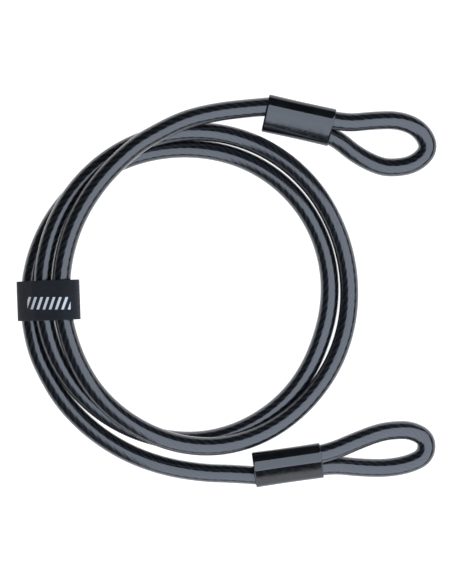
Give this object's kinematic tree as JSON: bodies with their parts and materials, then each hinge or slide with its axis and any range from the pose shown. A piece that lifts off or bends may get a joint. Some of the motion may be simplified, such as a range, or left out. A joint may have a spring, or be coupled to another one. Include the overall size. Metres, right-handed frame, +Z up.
{
  "type": "double-loop security cable",
  "caption": "Coiled bicycle security cable with a crimped eye under a glossy cover at each end, tied with a hook-and-loop strap.",
  "frame": {"origin": "on the surface it lies on, under the middle of the object's box", "axes": "+X from the tied side of the coil towards the eyes, +Y across the coil towards the upper eye, +Z up from the surface"},
  "size_m": [0.2284, 0.2131, 0.0284],
  "materials": {
    "sheath": "smoke-black clear sheath with the twisted rope showing through",
    "rope": "twisted steel wire strands",
    "ferrule": "pressed",
    "cover": "gloss black",
    "tape": "matt black woven tape",
    "pile": "black looped pile",
    "hooks": "black moulded hooks"
  },
  "bodies": {
    "cable": {"cable_coil": "sheath", "upper_lead": "sheath", "lower_lead": "sheath", "upper_eye_sheath": "sheath", "upper_eye_rope": "rope", "upper_crimped_legs": "sheath", "upper_cut_end": "sheath", "upper_crimp_ferrule": "ferrule", "upper_ferrule_cover": "cover", "lower_eye_sheath": "sheath", "lower_eye_rope": "rope", "lower_crimped_legs": "sheath", "lower_cut_end": "sheath", "lower_crimp_ferrule": "ferrule", "lower_ferrule_cover": "cover"},
    "strap": {"strap_band": "tape", "strap_loop_patch": "pile"},
    "strap_flap": {"strap_flap": "tape", "strap_hook_patch": "hooks"}
  },
  "joints": [
    {"name": "strap_slide", "type": "hinge", "parent": "cable", "child": "strap", "pos_m": [-0.0202, 0.0013, 0], "axis": [0, 0, 1], "range_deg": [-3, 3]},
    {"name": "flap_peel", "type": "hinge", "parent": "strap", "child": "strap_flap", "pos_m": [-0.0796, -0.0043, 0.013], "axis": [-0.0349, 0.9994, 0], "range_deg": [0, 110]}
  ]
}
